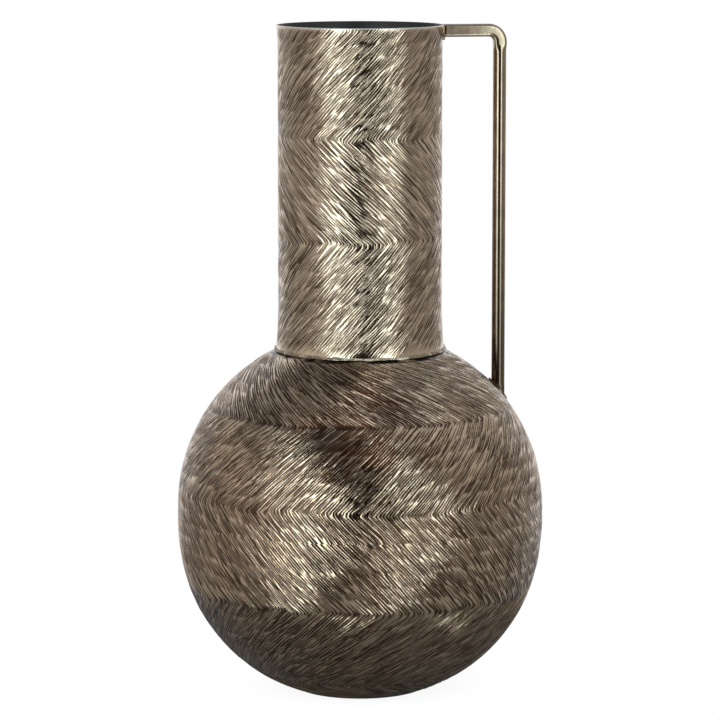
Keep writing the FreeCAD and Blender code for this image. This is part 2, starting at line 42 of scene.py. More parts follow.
# The vase's own sizes, in millimetres, as its solids have them
vase = {
    "rim": 400, "belly": 110, "seam": 108, "belt": 7, "shoulderArc": 105, "sideArc": 135, "sideTurn": 13,
    "base": 39.8, "padHeight": 1, "gauge": 1.2, "neck": 49.1, "lipCurve": 72, "lipLength": 10,
    "footCurve": 280, "footLength": 28, "throatLedge": 2, "bar": 7.7, "rod": 8,
    "handleInset": 25, "bendRadius": 7, "bendTail": 1.5, "taper": 4,
}


# Shader maths written as plain sums
class Num:
    def __init__(self, finish, link):
        self.finish, self.link = finish, link

    def __add__(self, other):
        return self.finish.sum("ADD", self, other)

    def __radd__(self, other):
        return self.finish.sum("ADD", other, self)

    def __sub__(self, other):
        return self.finish.sum("SUBTRACT", self, other)

    def __rsub__(self, other):
        return self.finish.sum("SUBTRACT", other, self)

    def __mul__(self, other):
        return self.finish.sum("MULTIPLY", self, other)

    def __rmul__(self, other):
        return self.finish.sum("MULTIPLY", other, self)


class Finish:
    def __init__(self, owner):
        owner.use_nodes = True
        self.owner, self.tree = owner, owner.node_tree
        self.tree.nodes.clear()

    def node(self, kind, settings, sockets, out=0):
        made = self.tree.nodes.new("ShaderNode" + kind)
        for name, value in settings.items():
            setattr(made, name, value)
        for name, value in sockets.items():
            if isinstance(value, Num):
                value = value.link
            if isinstance(value, bpy.types.NodeSocket):
                self.tree.links.new(value, made.inputs[name])
            else:
                made.inputs[name].default_value = value
        if not made.outputs:
            return made
        return Num(self, made.outputs[out])

    def sum(self, operation, first, second=0.0):
        return self.node("Math", {"operation": operation}, {0: first, 1: second})

    def clamp(self, value, low=0.0, high=1.0):
        return self.node("Clamp", {}, {"Value": value, "Min": low, "Max": high})

    def step(self, value, low, high):
        # 0 below low, 1 above high, smooth between. With low the larger of the two it is the other way round.
        return self.node("MapRange", {"interpolation_type": "SMOOTHSTEP"},
                         {"Value": value, "From Min": low, "From Max": high})

    def lengthStep(self, value, low, high):
        # the same between two lengths in millimetres
        return self.step(value, low * mm, high * mm)

    def swing(self, value, share):
        # a value of 0 to 1 turned into minus to plus half the share
        return (value - 0.5) * share

    def blend(self, share, first, second):
        return self.node("Mix", {"data_type": "RGBA"}, {0: share, 6: first, 7: second}, 2)

    def noise(self, vector, scale, detail=2.0, rough=0.5):
        return self.node("TexNoise", {}, {"Vector": vector, "Scale": scale, "Detail": detail,
                                          "Roughness": rough})

    def surface(self, base, metal, rough, bump, bumpHeight, relief):
        # closes a material with one surface and its small relief, as high as bumpHeight in millimetres
        normal = self.node("Bump", {}, {"Strength": bump, "Distance": bumpHeight * mm, "Height": relief})
        shader = self.node("BsdfPrincipled", {}, {"Base Color": base, "Metallic": metal, "Roughness": rough,
                                                  "Normal": normal})
        self.node("OutputMaterial", {}, {"Surface": shader})
        return self.owner


def colour(red, green, blue):
    return (red, green, blue, 1.0)


# The vase's section: rows of radius and height from the base to the rim
shoulderX, beltTop = vase["belly"] - vase["shoulderArc"], vase["seam"] + vase["belt"] / 2
beltBottom = vase["seam"] - vase["belt"] / 2
sideX = vase["belly"] - vase["sideArc"]
turn = math.radians(vase["sideTurn"])
turnX, turnZ = sideX + vase["sideArc"] * math.cos(turn), beltBottom - vase["sideArc"] * math.sin(turn)
runX, runZ = turnX - vase["base"], turnZ - vase["padHeight"]
bottomArc = (runX ** 2 + runZ ** 2) / (runX * math.cos(turn) - runZ * math.sin(turn)) / 2
bottomX, bottomZ = turnX - bottomArc * math.cos(turn), turnZ + bottomArc * math.sin(turn)


def shoulderHeight(radius):
    return beltTop + np.sqrt(vase["shoulderArc"] ** 2 - (radius - shoulderX) ** 2)


footStart = shoulderHeight(vase["neck"]) + vase["footLength"]
lipStart = vase["rim"] - vase["lipLength"]


def neckRadius(height, wall=0.0):
    # the neck's outside, or its inside where a wall is given
    below, above = np.clip(footStart - height, 0, None), np.clip(height - lipStart, 0, None)
    flare = vase["footCurve"] - np.sqrt((vase["footCurve"] + wall) ** 2 - below ** 2)
    lip = vase["lipCurve"] - np.sqrt((vase["lipCurve"] + wall) ** 2 - above ** 2)
    return vase["neck"] + np.where(height > lipStart, lip, np.where(height < footStart, flare, -wall))


def bowlRadius(height):
    # the belly's outside at any height
    shoulder = shoulderX + np.sqrt(np.clip(vase["shoulderArc"] ** 2 - (height - beltTop) ** 2, 0, None))
    side = sideX + np.sqrt(np.clip(vase["sideArc"] ** 2 - (height - beltBottom) ** 2, 0, None))
    bottom = bottomX + np.sqrt(np.clip(bottomArc ** 2 - (height - bottomZ) ** 2, 0, None))
    low = np.where(height < turnZ, bottom, np.where(height < beltBottom, side, vase["belly"]))
    return np.where(height > beltTop, shoulder, low)


# Modelling helpers: a gap in millimetres and an angle in degrees
spinning = {"mergeGap": 0.002, "smoothAngle": 65}


def alone():
    if bpy.context.object and bpy.context.object.mode == "EDIT":
        bpy.ops.object.mode_set(mode="OBJECT")
    bpy.ops.object.select_all(action="DESELECT")


def pointChain(name, points):
    # a plane merged to one point, which is then extruded from place to place
    alone()
    bpy.ops.mesh.primitive_plane_add(size=mm, location=(0, 0, 0))
    piece = bpy.context.object
    piece.name = piece.data.name = name
    bpy.ops.object.mode_set(mode="EDIT")
    bpy.ops.mesh.merge(type="CENTER")
    bpy.ops.transform.translate(value=Vector(points[0]) * mm)
    for before, after in zip(points, points[1:]):
        step = (Vector(after) - Vector(before)) * mm
        bpy.ops.mesh.extrude_region_move(TRANSFORM_OT_translate={"value": step})
    bpy.ops.mesh.select_all(action="SELECT")
    return piece


def applyModifier(piece, kind, settings):
    alone()
    piece.select_set(True)
    bpy.context.view_layer.objects.active = piece
    made = piece.modifiers.new(kind.lower(), kind)
    for name, value in settings.items():
        setattr(made, name, value)
    bpy.ops.object.modifier_apply(modifier=made.name)


def spunSection(name, section, columns):
    # a section of radius and height, spun about the vase's axis
    piece = pointChain(name, [(radius, 0, height) for radius, height in section])
    bpy.ops.object.mode_set(mode="OBJECT")
    gap = spinning["mergeGap"] * mm
    applyModifier(piece, "SCREW", {"steps": columns, "render_steps": columns, "use_merge_vertices": True,
                                   "merge_threshold": gap})
    editAll(piece)
    bpy.ops.mesh.remove_doubles(threshold=gap)
    bpy.ops.mesh.normals_make_consistent(inside=False)
    bpy.ops.object.mode_set(mode="OBJECT")
    bpy.ops.object.shade_smooth_by_angle(angle=math.radians(spinning["smoothAngle"]))
    return piece


def editAll(piece):
    alone()
    piece.select_set(True)
    bpy.context.view_layer.objects.active = piece
    bpy.ops.object.mode_set(mode="EDIT")
    bpy.ops.mesh.select_all(action="SELECT")


def readPoints(piece):
    flat = np.empty(len(piece.data.vertices) * 3)
    piece.data.vertices.foreach_get("co", flat)
    return flat.reshape(-1, 3) / mm


def writePoints(piece, points):
    piece.data.vertices.foreach_set("co", (points * mm).ravel())
    piece.data.update()


def writeAttribute(piece, name, values):
    kind = "FLOAT" if values.ndim == 1 else "FLOAT_VECTOR"
    made = piece.data.attributes.new(name, kind, "POINT")
    made.data.foreach_set("value" if values.ndim == 1 else "vector", values.astype(np.float32).ravel())


def smoothLattice(random, across, along, cells, rows):
    # smooth random values that close round the vase: across runs 0..1 once round
    lattice = random.random((rows + 2, cells))
    u, v = (across % 1) * cells, np.clip(along, 0, 1) * rows
    i, j = np.floor(u).astype(int), np.floor(v).astype(int)
    fu, fv = u - i, v - j
    fu, fv = fu * fu * (3 - 2 * fu), fv * fv * (3 - 2 * fv)
    low = lattice[j, i % cells] * (1 - fu) + lattice[j, (i + 1) % cells] * fu
    high = lattice[j + 1, i % cells] * (1 - fu) + lattice[j + 1, (i + 1) % cells] * fu
    return low * (1 - fv) + high * fv


# Chased strokes: herringbone bands of short cuts, row over row, as a graver leaves them.
# Lengths are in millimetres. Width, offset and slant are shares of the way from stroke to stroke.
chasing = {
    "seed": 11, "samples": 4000, "rowStep": 8.5, "rowReach": 1.3, "overlap": 0.6, "strokeRise": 5.2,
    "riseLeast": 0.8, "riseSpread": 0.45, "depthLeast": 0.7, "depthSpread": 0.3, "widthShare": 0.54,
    "offset": 0.15, "shift": 2.0, "slant": 0.28, "slantGroup": 7, "slantShared": 0.7, "slantOwn": 0.3,
    "entry": 5, "lift": 2, "middleDepth": 0.72, "depthFall": 0.28, "wave": 1.9, "waveLength": 13,
    "waveRise": 25, "facetDepth": 0.09, "facetLength": 3.2, "facetRise": 13, "swellDepth": 0.24,
    "swellLength": 9,
}
neckBands = {"limits": [206, 274, 335, 400], "lean": [1, -1, 1], "angle": [46, 42, 46], "pitch": 1.4,
             "depth": 0.40}
bellyBands = {"limits": [1, 14, 65.5, 125, 173, 214], "lean": [-1, 1, -1, 1, -1],
              "angle": [30, 42, 46, 45, 37], "pitch": 1.34, "depth": 0.53}


class Chased:
    # One surface of revolution with its bands. It turns heights into lengths along the section.
    def __init__(self, radiusAt, bands, low, high, seed, fade):
        self.random = np.random.default_rng(seed)
        self.bands, self.fade = bands, fade
        self.heights = np.linspace(low, high, chasing["samples"])
        radii = radiusAt(self.heights)
        self.lengths = np.concatenate([[0], np.cumsum(np.hypot(np.diff(radii), np.diff(self.heights)))])
        self.radii = radii
        self.slopeR, self.slopeZ = np.gradient(radii, self.lengths), np.gradient(self.heights, self.lengths)
        lean = np.zeros_like(radii)
        limits = bands["limits"]
        for start, end, side, angle in zip(limits, limits[1:], bands["lean"], bands["angle"]):
            inside = (self.heights >= start) & (self.heights <= end)
            lean[inside] = side / math.tan(math.radians(angle))
        steps = np.diff(self.lengths) * ((lean / radii)[1:] + (lean / radii)[:-1]) / 2
        self.twist = np.concatenate([[0], np.cumsum(steps)])
        self.rows = self.strokeRows()

    def at(self, what, height):
        return np.interp(height, self.heights, what)

    def strokeRows(self):
        rows = []
        limits = self.bands["limits"]
        for start, end, angle in zip(limits, limits[1:], self.bands["angle"]):
            first, last = self.at(self.lengths, start), self.at(self.lengths, end)
            count = max(1, round((last - first) / chasing["rowStep"]))
            for number in range(-1, count + 1):
                middle = first + (last - first) * (number + 0.5) / count
                radius = np.interp(middle, self.lengths, self.radii)
                around = round(2 * math.pi * radius * math.sin(math.radians(angle)) / self.bands["pitch"])
                draw = self.random.random
                offset = (draw(around) - 0.5) * 2 * chasing["offset"] + draw()
                slant = self.slants(around)
                shift = (draw(around) - 0.5) * 2 * chasing["shift"]
                rise = chasing["strokeRise"] * (chasing["riseLeast"] + chasing["riseSpread"] * draw(around))
                depth = chasing["depthLeast"] + chasing["depthSpread"] * draw(around)
                rows.append({"middle": middle, "first": first, "last": last, "around": around,
                             "offset": offset, "slant": slant, "shift": shift, "rise": rise,
                             "depth": depth, "tone": draw(around)})
        return rows

    def slants(self, around):
        # neighbouring strokes lean alike, with a little of their own
        groups = max(3, round(around / chasing["slantGroup"]))
        drawn = self.random.random(groups) * 2 - 1
        places = np.arange(around) / around * groups
        shared = np.interp(places, np.arange(groups + 1), np.append(drawn, drawn[0]))
        own = self.random.random(around) * 2 - 1
        return chasing["slant"] * (chasing["slantShared"] * shared + chasing["slantOwn"] * own)

    def cuts(self, across, along):
        # how deep each point is cut, 0 to 1, and its stroke's own tone: the deepest stroke over a point wins
        deep, tone = np.zeros_like(across), np.full_like(across, 0.5)
        reach, overlap = chasing["strokeRise"] * chasing["rowReach"] + chasing["shift"], chasing["overlap"]
        for row in self.rows:
            near = np.abs(along - row["middle"]) < reach
            near &= (along > row["first"] - overlap) & (along < row["last"] + overlap)
            place, rise = across[near] * row["around"], along[near] - row["middle"]
            best, bestTone = np.zeros_like(place), np.full_like(place, 0.5)
            for step in (-2, -1, 0, 1, 2):
                whole = np.floor(place).astype(int) + step
                i = whole % row["around"]
                side = place - whole - 0.5 - row["offset"][i] - row["slant"][i] * rise / chasing["strokeRise"]
                side = side + np.where(row["offset"][i] > 0.5, 1, 0)
                groove = np.clip(1 - np.abs(side) / chasing["widthShare"], 0, 1)
                # the graver goes in deep at the stroke's lower end and lifts out slowly at the upper one
                run = (rise - row["shift"][i]) / row["rise"][i]
                entry = np.clip((1 + run) * chasing["entry"], 0, 1)
                lift = np.clip((1 - run) * chasing["lift"], 0, 1)
                end = entry * lift * (chasing["middleDepth"] - chasing["depthFall"] * run)
                cut = groove * end * row["depth"][i]
                bestTone = np.where(cut > best, row["tone"][i], bestTone)
                best = np.maximum(best, cut)
            tone[near] = np.where(best > deep[near], bestTone, tone[near])
            deep[near] = np.maximum(deep[near], best)
        return deep, tone

    def chase(self, piece, outside):
        # twists the columns to lie along the strokes, then cuts them in
        points = readPoints(piece)
        angle, height = np.arctan2(points[:, 1], points[:, 0]), points[:, 2]
        across = (angle / (2 * math.pi)) % 1
        along = self.at(self.lengths, height)
        ends = np.array([along.min(), along.max()])
        total, girth = self.lengths[-1], 2 * math.pi * self.radii.mean()

        def unevenness(length, rise):
            # smooth random values in cells of this length round the vase and this rise up its section
            cells, steps = round(girth / length), round(total / rise)
            return smoothLattice(self.random, across, along / total, cells, steps)

        # the rows wander up and down a little round the vase
        wave = unevenness(chasing["waveLength"], chasing["waveRise"]) - 0.5
        along = along + wave * 2 * chasing["wave"]
        skin = outside(points)
        # the inner wall has few rows, so it turns evenly from end to end and stays round
        even = np.interp(along, ends, np.interp(ends, self.lengths, self.twist))
        angle = angle + np.where(skin, np.interp(along, self.lengths, self.twist), even)
        deep, tone = self.cuts(across, along)
        deep = np.where(skin, deep, 0)
        facet = unevenness(chasing["facetLength"], chasing["facetRise"])
        swell = unevenness(chasing["swellLength"], chasing["swellLength"])
        fade = np.where(skin, self.fade(height), 0)
        sink = deep * self.bands["depth"] + facet * chasing["facetDepth"] + swell * chasing["swellDepth"]
        sink = sink * fade
        slopeR, slopeZ = self.at(self.slopeR, height), self.at(self.slopeZ, height)
        radius = np.hypot(points[:, 0], points[:, 1]) - sink * slopeZ
        height = height + sink * slopeR
        writePoints(piece, np.column_stack([radius * np.cos(angle), radius * np.sin(angle), height]))
        writeAttribute(piece, "cutDepth", deep * fade)
        writeAttribute(piece, "strokeTone", np.where(skin, tone, 0.5))
        turned = across * 2 * math.pi
        writeAttribute(piece, "strokeSpace",
                       np.column_stack([radius * np.cos(turned), radius * np.sin(turned), along]))


# Blended finishes: the rust's place is in metres, other heights and distances are in millimetres.
# A noise has its scale, detail and roughness, and a pair says where something starts and is full.
chasedLook = {
    "belly": (0.73, 0.535, 0.365), "neck": (0.77, 0.60, 0.43), "cloudy": (0.70, 0.55, 0.40),
    # the dark cut colour on this line is dirt and patina, and also painted shade in the grooves
    "worn": (0.84, 0.69, 0.51), "grooveDirtAndShade": (0.105, 0.066, 0.040), "rust": (0.105, 0.040, 0.017),
    # the near-black colour on this line is painted shadow under the neck's weld bead, also used for the
    # specks
    # the pale rim colour on this line is a painted highlight on the rim's top edge
    "beadShadow": (0.012, 0.009, 0.007), "rim": (0.97, 0.91, 0.79), "scratchNoise": (0.95, 3, 0.65),
    "cloudNoise": (22, 4, 0.6), "patchNoise": (70, 3, 0.6), "speckNoise": (330, 2, 0.5),
    "rustNoise": (60, 3, 0.7), "scratchLength": 0.09, "neckStarts": (200, 208), "paler": (150, 215),
    "cutDirtAndShade": (0.09, 0.41), "neckLighterCuts": 0.25, "scratchDirt": 1.5, "toneDirt": 0.6, "cloudDirt": 0.4,
    "cloudyFrom": (0.35, 0.7), "cloudyMost": 0.5, "wornFrom": (0.4, 0.75), "wornMost": 0.5,
    "beadShadowStarts": (203.9, 204.8), "beadShadowEnds": (206.0, 206.5), "beadShadowPatches": (0.42, 0.58),
    "beadShadowLeast": 0.35, "speckFrom": (0.71, 0.75), "speckMost": 0.85,
    "rustPlace": (-0.020, -0.086, 0.167), "rustReach": (10, 50), "rustGathers": 0.22,
    "rustFrom": (0.60, 0.72), "rustCuts": (0.05, 0.3), "rustMost": 0.85, "rimHighlightStarts": (398.9, 399.4),
    "rough": 0.08, "roughDirt": 0.07, "roughPatch": 0.12, "roughRim": 0.3, "roughLimits": (0.05, 0.7),
    "cutWalls": 0.7, "neckWallsLess": 0.25, "bump": 0.9, "bumpHeight": 0.12,
}


def chasedMetal():
    look = chasedLook
    f = Finish(bpy.data.materials.new("chasedMetal"))
    cut = f.node("Attribute", {"attribute_name": "cutDepth"}, {}, 2)
    space = f.node("Attribute", {"attribute_name": "strokeSpace"}, {}, 1)
    place = f.node("TexCoord", {}, {}, 3)
    tone = f.node("Attribute", {"attribute_name": "strokeTone"}, {}, 2)
    long = f.node("VectorMath", {"operation": "MULTIPLY"}, {0: space, 1: (1, 1, look["scratchLength"])})
    scratch = f.noise(long, *look["scratchNoise"])
    cloud = f.noise(place, *look["cloudNoise"])
    patch = f.noise(place, *look["patchNoise"])
    height = f.node("SeparateXYZ", {}, {0: place}, 2)
    onNeck = f.lengthStep(height, *look["neckStarts"])
    # dirt and darkened patina fill the cuts, and their darkening is also painted shade for the grooves' own
    # shadow, more in some strokes and some places than in others
    grimeAndGrooveShade = f.step(cut, *look["cutDirtAndShade"]) * (1 - onNeck * look["neckLighterCuts"])
    grimeAndGrooveShade = grimeAndGrooveShade + f.swing(scratch, look["scratchDirt"]) + f.swing(tone, look["toneDirt"])
    grimeAndGrooveShade = f.clamp(grimeAndGrooveShade + f.swing(cloud, look["cloudDirt"]))
    # the neck is a little paler than the belly
    tint = f.blend(f.lengthStep(height, *look["paler"]), colour(*look["belly"]), colour(*look["neck"]))
    bright = f.blend(f.step(cloud, *look["cloudyFrom"]) * look["cloudyMost"], tint, colour(*look["cloudy"]))
    worn = f.blend(f.step(patch, *look["wornFrom"]) * look["wornMost"], bright, colour(*look["worn"]))
    grimedAndShaded = f.blend(grimeAndGrooveShade, worn, colour(*look["grooveDirtAndShade"]))
    # painted shadow lies on the shoulder close under the neck's weld bead, thicker in some places
    beadShadow = f.lengthStep(height, *look["beadShadowStarts"]) * (1 - f.lengthStep(height, *look["beadShadowEnds"]))
    beadShadow = beadShadow * (look["beadShadowLeast"] + f.step(patch, *look["beadShadowPatches"]) * (1 - look["beadShadowLeast"]))
    specks = f.step(f.noise(place, *look["speckNoise"]), *look["speckFrom"]) * (1 - onNeck)
    # rust red tarnish sits in the cuts and gathers round one place on the shoulder
    fromPatch = f.node("VectorMath", {"operation": "DISTANCE"}, {0: place, 1: look["rustPlace"]}, 1)
    nearPatch = 1 - f.lengthStep(fromPatch, *look["rustReach"])
    rust = f.noise(place, *look["rustNoise"]) + nearPatch * look["rustGathers"]
    rusty = f.step(rust, *look["rustFrom"]) * f.step(cut, *look["rustCuts"]) * (1 - onNeck)
    reddened = f.blend(rusty * look["rustMost"], grimedAndShaded, colour(*look["rust"]))
    # the painted bead shadow and the dark specks share one near-black colour
    black = f.sum("MAXIMUM", beadShadow, specks * look["speckMost"])
    beadShadowedAndSpecked = f.blend(black, reddened, colour(*look["beadShadow"]))
    # painted highlight: the top edge of the rim turns pale where it catches the light
    rim = f.lengthStep(height, *look["rimHighlightStarts"])
    base = f.blend(rim, beadShadowedAndSpecked, colour(*look["rim"]))
    rough = look["rough"] + grimeAndGrooveShade * look["roughDirt"] + f.swing(patch, look["roughPatch"])
    rough = f.clamp(rough + rim * look["roughRim"], *look["roughLimits"])
    walls = scratch - cut * (look["cutWalls"] - onNeck * look["neckWallsLess"])
    return f.surface(base, 1.0, rough, look["bump"], look["bumpHeight"], walls)


handleLook = {
    "brown": (0.40, 0.31, 0.22), "pale": (0.50, 0.39, 0.27), "line": (0.20, 0.145, 0.10),
    # the darkest colour here is painted shade on the bar's foot
    "footShade": (0.10, 0.07, 0.048), "lineNoise": (700, 3, 0.6), "cloudNoise": (75, 4, 0.6),
    "lineLength": 0.12, "footShadeGrows": (360, 200), "footShadeWander": 60, "footShadeMost": 0.75,
    "paleFrom": (0.35, 0.7), "lineFrom": (0.52, 0.75), "lineMost": 0.5, "rough": 0.09, "roughCloud": 0.1,
    "roughFootShade": 0.12, "roughLimits": (0.05, 0.5), "bump": 0.3, "bumpHeight": 0.008,
}


def handleMetal():
    # polished bar: brown and clean at the top of the drop, with painted shade darkening it towards its foot,
    # where it reflects the dark belly
    look = handleLook
    f = Finish(bpy.data.materials.new("handleMetal"))
    place = f.node("TexCoord", {}, {}, 3)
    height = f.node("SeparateXYZ", {}, {0: place}, 2)
    drawn = f.node("VectorMath", {"operation": "MULTIPLY"}, {0: place, 1: (1, 1, look["lineLength"])})
    streak = f.noise(drawn, *look["lineNoise"])
    cloud = f.noise(place, *look["cloudNoise"])
    # painted shade: the bar grows darker downwards towards its foot
    uneven = height + f.swing(cloud, look["footShadeWander"] * mm)
    footShade = f.lengthStep(uneven, *look["footShadeGrows"]) * look["footShadeMost"]
    clean = f.blend(f.step(cloud, *look["paleFrom"]), colour(*look["brown"]), colour(*look["pale"]))
    lined = f.blend(f.step(streak, *look["lineFrom"]) * look["lineMost"], clean, colour(*look["line"]))
    base = f.blend(footShade, lined, colour(*look["footShade"]))
    rough = look["rough"] + f.swing(cloud, look["roughCloud"]) + footShade * look["roughFootShade"]
    rough = f.clamp(rough, *look["roughLimits"])
    return f.surface(base, 1.0, rough, look["bump"], look["bumpHeight"], streak)


plainLook = {
    "cloudNoise": (60, 4, 0.6), "fineNoise": (900, 2, 0.6), "darker": 0.82, "fullFrom": (0.3, 0.75),
    "roughCloud": 0.2, "roughLimits": (0.05, 0.9), "bump": 0.3, "bumpHeight": 0.05,
}


def plainFinish(name, tone, rough, metal=1.0):
    # one tone, a little darker in places, for the pieces that show least
    look = plainLook
    f = Finish(bpy.data.materials.new(name))
    place = f.node("TexCoord", {}, {}, 3)
    cloud, fine = f.noise(place, *look["cloudNoise"]), f.noise(place, *look["fineNoise"])
    darker = [part * look["darker"] for part in tone]
    shade = f.blend(f.step(cloud, *look["fullFrom"]), colour(*darker), colour(*tone))
    rough = f.clamp(rough + f.swing(cloud, look["roughCloud"]), *look["roughLimits"])
    return f.surface(shade, metal, rough, look["bump"], look["bumpHeight"], fine)


weldLook = {
    "brown": (0.36, 0.27, 0.185), "bright": (0.95, 0.82, 0.62), "runNoise": (150, 2, 0.5),
    "fineNoise": (900, 2, 0.6), "runEdge": 0.6, "brightFrom": (0.52, 0.62), "metal": 0.5, "rough": 0.4,
    "roughFine": 0.4, "roughLimits": (0.1, 0.9), "bump": 0.8, "bumpHeight": 0.15,
}


def weldMetal():
    # solder: bright runs, partly the braze's own pale gold and partly painted highlight, between darker,
    # brown ones
    look = weldLook
    f = Finish(bpy.data.materials.new("weldMetal"))
    place = f.node("TexCoord", {}, {}, 3)
    run, fine = f.noise(place, *look["runNoise"]), f.noise(place, *look["fineNoise"])
    share = f.step(run + f.swing(fine, look["runEdge"]), *look["brightFrom"])
    tone = f.blend(share, colour(*look["brown"]), colour(*look["bright"]))
    rough = f.clamp(look["rough"] + f.swing(fine, look["roughFine"]), *look["roughLimits"])
    return f.surface(tone, look["metal"], rough, look["bump"], look["bumpHeight"], fine)


chasedFinish = chasedMetal()
insideFinish = plainFinish("insideMetal", (0.10, 0.10, 0.095), 0.5)
handleFinish = handleMetal()
weldFinish = weldMetal()
# the joint welds' darker brown is partly painted shade for the dark line where the handle meets the neck
jointFinish = plainFinish("jointMetal", (0.26, 0.20, 0.15), 0.3)
feltFinish = plainFinish("felt", (0.05, 0.04, 0.035), 0.9, 0.0)


def dress(piece, material, slot, *nodes, inside=None):
    piece.data.materials.clear()
    piece.data.materials.append(material)
    if inside:
        # the faces that the rule picks by their middle, in millimetres, get the inside's finish
        piece.data.materials.append(insideFinish)
        for face in piece.data.polygons:
            face.material_index = int(inside(face.center / mm))
    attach(piece, "root")
    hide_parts(*nodes)


# The neck: how many columns and rows its mesh has, and lengths in millimetres
neckMesh = {
    "columns": 1000, "rows": 86, "lipRows": 3, "innerRows": 7, "footRadius": 50.49, "rimRound": 0.45,
    "rimCorner": 0.12, "plainFoot": 1.5, "footFade": 5, "plainRim": 0.7, "rimFade": 1.5, "skinDepth": 0.6,
    "insideDepth": 0.3,
}
neckFoot = shoulderHeight(neckMesh["footRadius"])


def neckFade(height):
    # the strokes die out above the foot and under the rim
    foot = np.clip((height - neckFoot - neckMesh["plainFoot"]) / neckMesh["footFade"], 0, 1)
    rim = np.clip((vase["rim"] - neckMesh["plainRim"] - height) / neckMesh["rimFade"], 0, 1)
    return foot * rim


def onNeckSkin(points):
    inner = neckRadius(points[:, 2], vase["gauge"])
    return np.hypot(points[:, 0], points[:, 1]) > inner + neckMesh["skinDepth"]


def insideNeck(place):
    return math.hypot(place.x, place.y) < neckRadius(place.z, vase["gauge"]) + neckMesh["insideDepth"]


def makeNeck():
    rim, edge, corner = vase["rim"], neckMesh["rimRound"], neckMesh["rimCorner"]
    heights = np.linspace(neckFoot, rim - edge, neckMesh["rows"])
    section = [(float(neckRadius(h)), float(h)) for h in heights]
    rimOut, rimIn = float(neckRadius(rim)), float(neckRadius(rim, vase["gauge"]))
    section += [(rimOut - corner, rim - corner), (rimOut - edge, rim),
                (rimIn + edge, rim), (rimIn + corner, rim - corner)]
    inner = list(np.linspace(rim - edge, lipStart, neckMesh["lipRows"]))
    inner += list(np.linspace(lipStart, neckFoot, neckMesh["innerRows"]))[1:]
    section += [(float(neckRadius(h, vase["gauge"])), float(h)) for h in inner]
    piece = spunSection("neck_chased", section + section[:1], neckMesh["columns"])
    work = Chased(neckRadius, neckBands, float(neckFoot), rim, chasing["seed"], neckFade)
    work.chase(piece, onNeckSkin)
    dress(piece, chasedFinish, "chased_metal", "neck_tube", inside=insideNeck)
    return piece


neck = makeNeck()
print("neck made", len(neck.data.polygons))

# The belly, in two bowls, with the same kinds of values. The strokes end at a radius and start at a height.
bowlMesh = {
    "columns": 1500, "rows": 56, "innerRows": 9, "samples": 3000, "strokesEnd": 51, "topFade": 2,
    "strokesStart": 1.2, "baseFade": 1, "insideDepth": 0.9, "baseEdge": 0.5, "skinStart": 0.01,
    "floorInset": 1,
}
throat = vase["neck"] - vase["gauge"] - vase["throatLedge"]
throatHeight = float(shoulderHeight(throat))


def bowlRows(low, high, rows, wall=0.0):
    # evenly spaced places along the belly's outside, or along its inside where a wall is given
    heights = np.linspace(low, high, bowlMesh["samples"])
    radii = bowlRadius(heights)
    lengths = np.concatenate([[0], np.cumsum(np.hypot(np.diff(radii), np.diff(heights)))])
    slopeR, slopeZ = np.gradient(radii, lengths), np.gradient(heights, lengths)
    places = np.linspace(0, lengths[-1], rows)
    picked = zip(np.interp(places, lengths, radii - wall * slopeZ),
                 np.interp(places, lengths, heights + wall * slopeR))
    return [(float(radius), float(height)) for radius, height in picked]


def bellyFade(height):
    # the strokes die out under the neck's weld and at the edge of the base
    top = np.clip((float(shoulderHeight(bowlMesh["strokesEnd"])) - height) / bowlMesh["topFade"], 0, 1)
    base = np.clip((height - bowlMesh["strokesStart"]) / bowlMesh["baseFade"], 0, 1)
    return top * base


bellyWork = Chased(bowlRadius, bellyBands, vase["padHeight"], throatHeight, chasing["seed"] + 1, bellyFade)


def onOutside(points):
    # true on the belly's outer skin, its base left out
    radius, height = np.hypot(points[:, 0], points[:, 1]), points[:, 2]
    aboveBase = height > vase["padHeight"] + bowlMesh["skinStart"]
    return (radius > bowlRadius(height) - vase["gauge"] / 2) & aboveBase


def makeBowl(name, section, node):
    piece = spunSection(name, section, bowlMesh["columns"])
    bellyWork.chase(piece, onOutside)
    dress(piece, chasedFinish, "chased_metal", node, inside=insideBelly)
    return piece


def insideBelly(place):
    sunk = (bowlRadius(place.z) - math.hypot(place.x, place.y)) * bellyWork.at(bellyWork.slopeZ, place.z)
    return sunk > bowlMesh["insideDepth"] and place.z > vase["padHeight"] + bowlMesh["baseEdge"]


outerRows, innerRows = bowlMesh["rows"], bowlMesh["innerRows"]
upperSection = bowlRows(vase["seam"], throatHeight, outerRows)
upperSection += bowlRows(vase["seam"], throatHeight, innerRows, vase["gauge"])[::-1] + upperSection[:1]
upperBowl = makeBowl("upper_bowl_chased", upperSection, "upper_bowl")
lowerSection = bowlRows(vase["padHeight"], vase["seam"], outerRows)
lowerInside = bowlRows(vase["padHeight"], vase["seam"], innerRows, vase["gauge"])[1:]
floorHeight = vase["padHeight"] + vase["gauge"]
lowerSection = [(0.0, vase["padHeight"])] + lowerSection + lowerInside[::-1]
lowerSection += [(vase["base"] - bowlMesh["floorInset"], floorHeight), (0.0, floorHeight)]
lowerBowl = makeBowl("lower_bowl_chased", lowerSection, "lower_bowl")
print("belly made", len(upperBowl.data.polygons), len(lowerBowl.data.polygons))

# The handle: a squared bar that turns round below its bend
handle = {"ringPoints": 40, "squareness": 5.5, "armSteps": 10, "bendSteps": 16, "tailStep": 0.5,
          "dropStep": 4.0, "sunkInNeck": 0.6, "sunkInShoulder": 0.5, "armSlack": 0.001, "footSlack": 0.01}
armHeight, reach = vase["rim"] - vase["bar"] / 2, vase["belly"] - vase["handleInset"]
bendX, bendZ = reach - vase["bendRadius"], armHeight - vase["bendRadius"]
tailEnd = bendZ - vase["bendTail"]
dropTop = tailEnd - vase["taper"]
dropFoot = float(shoulderHeight(reach))


def extrudeBy(step, count):
    for _ in range(count):
        bpy.ops.mesh.extrude_region_move(TRANSFORM_OT_translate={"value": Vector(step) * mm / count})


